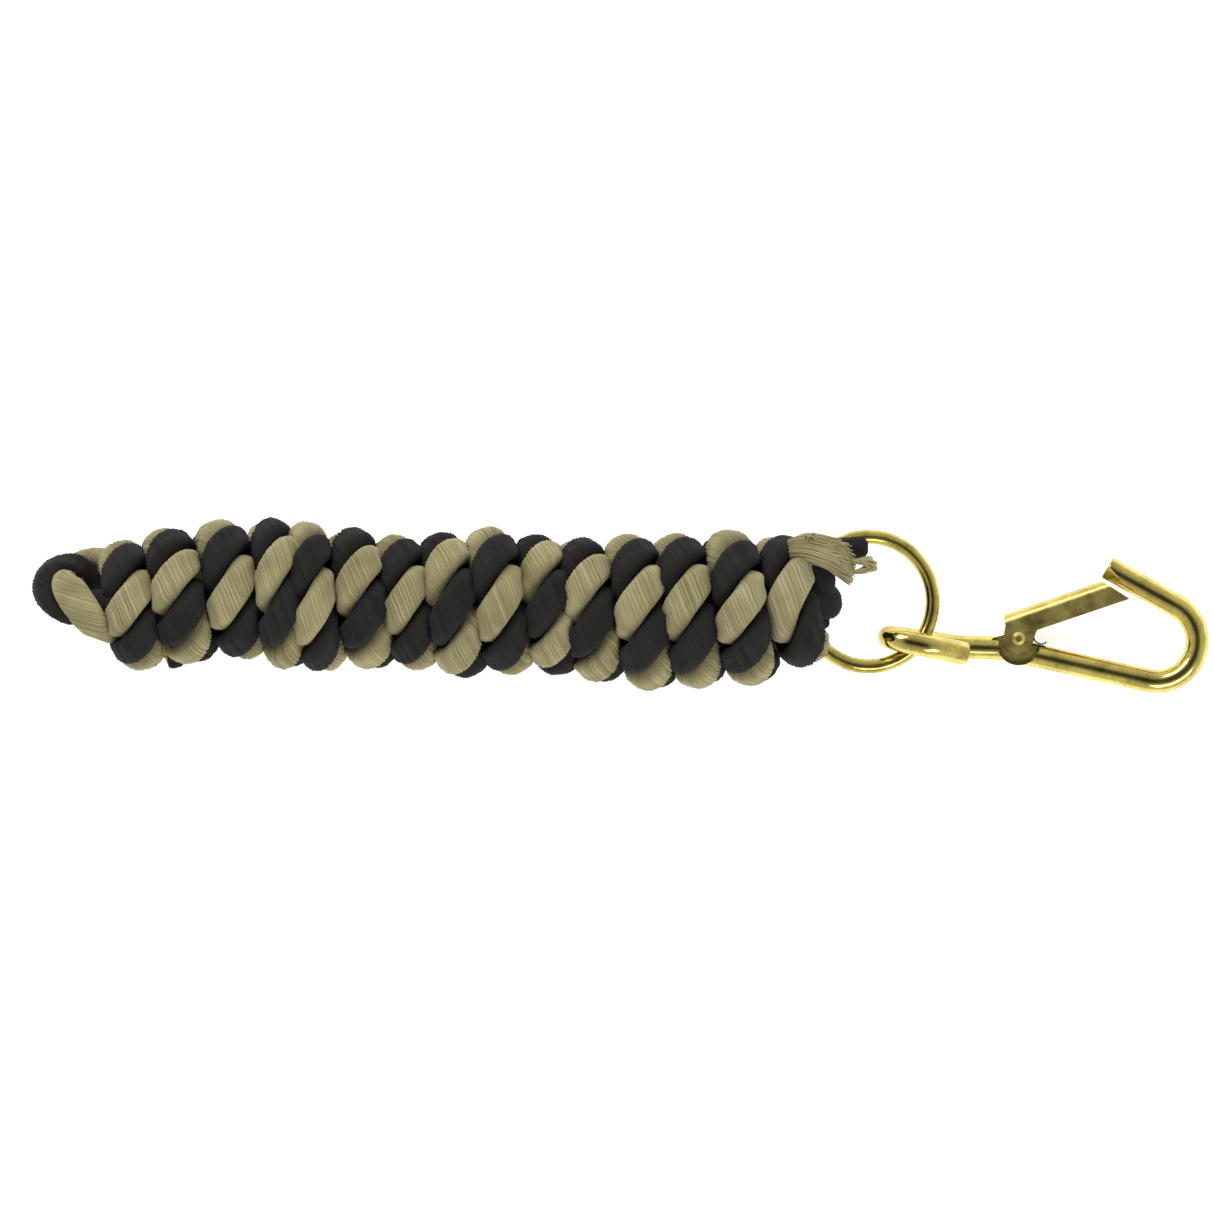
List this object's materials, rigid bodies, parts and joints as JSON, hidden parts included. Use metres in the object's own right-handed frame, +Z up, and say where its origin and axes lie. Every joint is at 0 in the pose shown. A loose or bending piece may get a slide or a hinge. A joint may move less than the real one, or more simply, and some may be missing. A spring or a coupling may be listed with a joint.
{
  "type": "horse lead rope",
  "caption": "Two-strand cotton lead rope wound into a hank, its eye round a ring that carries a sprung snap hook for a halter.",
  "frame": {"origin": "middle of the whole lead's footprint, on the surface that it lies on", "axes": "+X along the hank, from its folded end to the snap hook; +Z up, away from the surface"},
  "size_m": [0.4127, 0.057, 0.0531],
  "materials": {
    "navy_cotton": "soft matt laid cotton yarn",
    "cream_cotton": "soft matt laid cotton yarn",
    "ring_brass": "brassed wire, bright",
    "hook_brass": "brassed bar, bright",
    "gate_brass": "brassed sheet, satin",
    "spring_steel": "dark spring steel"
  },
  "bodies": {
    "rope": {"hank_winding": "navy_cotton", "bight_loop": "cream_cotton", "ring_eye_loop": "navy_cotton", "cream_tail": "cream_cotton", "navy_tail": "navy_cotton"},
    "ring": {"ring": "ring_brass"},
    "hook": {"hook_body": "hook_brass", "gate_rivet": "gate_brass", "gate_spring": "spring_steel"},
    "gate": {"gate": "gate_brass"}
  },
  "joints": [
    {"name": "ring_tilt", "type": "hinge", "parent": "rope", "child": "ring", "pos_m": [0.0638, 0.00315, 0.017], "axis": [0, -1, 0], "range_deg": [-75, 15]},
    {"name": "hook_swing", "type": "hinge", "parent": "ring", "child": "hook", "pos_m": [0.10371, -0.01135, 0.01245], "axis": [-0.6347, -0.7694, 0.0723], "range_deg": [-75, 75]},
    {"name": "gate_pivot", "type": "hinge", "parent": "hook", "child": "gate", "pos_m": [0.1395, -0.0079, 0.0052], "axis": [0, 0, 1], "range_deg": [-32, 0], "stiffness_Nm_per_rad": 0.12, "springref_deg": 20.05, "deforming": ["gate_spring"]}
  ]
}
